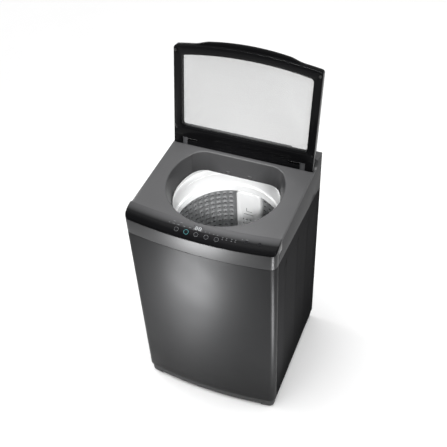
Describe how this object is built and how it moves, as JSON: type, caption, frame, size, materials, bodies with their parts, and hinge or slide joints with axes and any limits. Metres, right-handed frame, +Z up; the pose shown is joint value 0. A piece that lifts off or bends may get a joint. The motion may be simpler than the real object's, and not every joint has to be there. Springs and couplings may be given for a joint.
{
  "type": "top load washing machine",
  "caption": "Upright top load washing machine: bowed graphite front, black ribbed sides, sloping control panel, framed glass lid standing open over a perforated steel basket.",
  "frame": {"origin": "on the floor, under the middle of the cabinet", "axes": "+Z up, the control panel's side faces -Y, +X is to the right of someone standing at that side"},
  "size_m": [0.574, 0.5499, 1.3654],
  "materials": {
    "graphite_sheet": "brushed metallic, satin clear coat",
    "black_sheet": "gloss",
    "zinc_sheet": "bare zinc-coated steel",
    "black_plastic": "fine grain",
    "cover_plastic": "satin grey",
    "strip_metal": "brushed metallic, satin clear coat",
    "panel_gloss": "gloss, grey towards its rear edge",
    "lid_gloss": "gloss black",
    "lid_trim": "satin black",
    "lid_glass": "clear tempered",
    "lens": "smoked",
    "key_gloss": "gloss",
    "board": "solder mask",
    "white_plastic": "white satin",
    "tub_plastic": "pale grey",
    "drum_steel": "pressed stainless",
    "pulsator_plastic": "satin grey",
    "bright_steel": "bright",
    "black_screw": "black zinc",
    "grey_bracket": "satin",
    "rubber": "matt",
    "cast_alloy": "cast",
    "foot_plastic": "matt"
  },
  "bodies": {
    "cabinet": {"front_panel": "graphite_sheet", "side_panel_left": "black_sheet", "side_panel_right": "black_sheet", "rear_panel": "zinc_sheet", "service_cover": "zinc_sheet", "cabinet_screws": "bright_steel", "base_frame": "black_plastic", "top_cover": "cover_plastic", "front_strip": "strip_metal", "control_fascia": "panel_gloss", "display_lens": "lens", "control_board": "board", "hinge_brackets": "grey_bracket", "inlet_valve": "white_plastic", "water_spout": "cover_plastic", "inlet_tube": "white_plastic", "suspension_brackets": "zinc_sheet", "suspension_rods": "zinc_sheet", "suspension_springs": "zinc_sheet", "drain_pump": "white_plastic", "drain_grommet": "rubber", "cord_gland": "black_plastic"},
    "lid": {"lid_frame": "lid_gloss", "lid_inner_frame": "lid_trim", "lid_glass": "lid_glass", "lid_screws": "black_screw", "lid_bumpers": "rubber", "hinge_pins": "bright_steel"},
    "tub": {"outer_tub": "tub_plastic", "tub_cover_ring": "white_plastic", "mounting_plate": "zinc_sheet", "clutch_housing": "cast_alloy", "tub_bearings": "bright_steel", "tub_seal": "rubber", "drive_motor": "cast_alloy", "drive_belt": "rubber", "suspension_cups": "white_plastic", "sump_hose": "rubber"},
    "basket": {"spin_tube": "bright_steel", "spin_basket": "drum_steel", "basket_base": "tub_plastic", "balance_ring": "white_plastic"},
    "filter_cartridge": {"lint_filter": "white_plastic"},
    "wash_plate": {"pulsator": "pulsator_plastic", "pulsator_cap": "pulsator_plastic", "drive_shaft": "bright_steel", "drive_pulley": "cast_alloy"},
    "motor_rotor": {"motor_pulley": "bright_steel"},
    "foot_front_left": {"foot_front_left": "foot_plastic"},
    "foot_front_right": {"foot_front_right": "foot_plastic"},
    "foot_rear_left": {"foot_rear_left": "foot_plastic"},
    "foot_rear_right": {"foot_rear_right": "foot_plastic"},
    "key_mode": {"key_mode": "key_gloss"},
    "key_course": {"key_course": "key_gloss"},
    "key_level": {"key_level": "key_gloss"},
    "key_rinse": {"key_rinse": "key_gloss"},
    "key_delay": {"key_delay": "key_gloss"},
    "key_start": {"key_start": "key_gloss"},
    "key_power": {"key_power": "key_gloss"}
  },
  "joints": [
    {"name": "lid_hinge", "type": "hinge", "parent": "cabinet", "child": "lid", "pos_m": [0, 0.191, 0.9636], "axis": [1, 0, 0], "range_deg": [0, 100.3]},
    {"name": "tub_float", "type": "slide", "parent": "cabinet", "child": "tub", "axis": [0, 0, 1], "range_m": [-0.015, 0.008], "stiffness_N_per_m": 8000, "springref_m": 0.02804, "deforming": ["suspension_springs"]},
    {"name": "basket_spin", "type": "hinge", "parent": "tub", "child": "basket", "pos_m": [0, 0.012, 0.5], "axis": [0, 0, 1], "continuous": true},
    {"name": "pulsator_spin", "type": "hinge", "parent": "tub", "child": "wash_plate", "pos_m": [0, 0.012, 0.3], "axis": [0, 0, 1], "continuous": true},
    {"name": "motor_spin", "type": "hinge", "parent": "tub", "child": "motor_rotor", "pos_m": [-0.135, 0.088, 0.105], "axis": [0, 0, 1], "continuous": true},
    {"name": "lint_filter_tilt", "type": "hinge", "parent": "basket", "child": "filter_cartridge", "pos_m": [0.00881, 0.2313, 0.488], "axis": [0.9992, -0.0401, 0], "range_deg": [0, 30]},
    {"name": "press_mode", "type": "slide", "parent": "cabinet", "child": "key_mode", "axis": [0.025, 0.5496, -0.835], "range_m": [0, 0.0008], "stiffness_N_per_m": 1000},
    {"name": "press_course", "type": "slide", "parent": "cabinet", "child": "key_course", "axis": [0.0128, 0.5501, -0.835], "range_m": [0, 0.0008], "stiffness_N_per_m": 1000},
    {"name": "press_level", "type": "slide", "parent": "cabinet", "child": "key_level", "axis": [0.0007, 0.5502, -0.835], "range_m": [0, 0.0008], "stiffness_N_per_m": 1000},
    {"name": "press_rinse", "type": "slide", "parent": "cabinet", "child": "key_rinse", "axis": [-0.0115, 0.5501, -0.835], "range_m": [0, 0.0008], "stiffness_N_per_m": 1000},
    {"name": "press_delay", "type": "slide", "parent": "cabinet", "child": "key_delay", "axis": [-0.0237, 0.5497, -0.835], "range_m": [0, 0.0008], "stiffness_N_per_m": 1000},
    {"name": "press_start", "type": "slide", "parent": "cabinet", "child": "key_start", "axis": [-0.0449, 0.4271, -0.9031], "range_m": [0, 0.0008], "stiffness_N_per_m": 1000},
    {"name": "press_power", "type": "slide", "parent": "cabinet", "child": "key_power", "axis": [-0.0568, 0.4257, -0.9031], "range_m": [0, 0.0008], "stiffness_N_per_m": 1000},
    {"name": "level_front_left", "type": "slide", "parent": "cabinet", "child": "foot_front_left", "axis": [0, 0, -1], "range_m": [0, 0.012]},
    {"name": "level_front_right", "type": "slide", "parent": "cabinet", "child": "foot_front_right", "axis": [0, 0, -1], "range_m": [0, 0.012]},
    {"name": "level_rear_left", "type": "slide", "parent": "cabinet", "child": "foot_rear_left", "axis": [0, 0, -1], "range_m": [0, 0.012]},
    {"name": "level_rear_right", "type": "slide", "parent": "cabinet", "child": "foot_rear_right", "axis": [0, 0, -1], "range_m": [0, 0.012]}
  ],
  "couplings": [
    {"joint": "motor_spin", "follows": "pulsator_spin", "ratio": 3.8649}
  ]
}
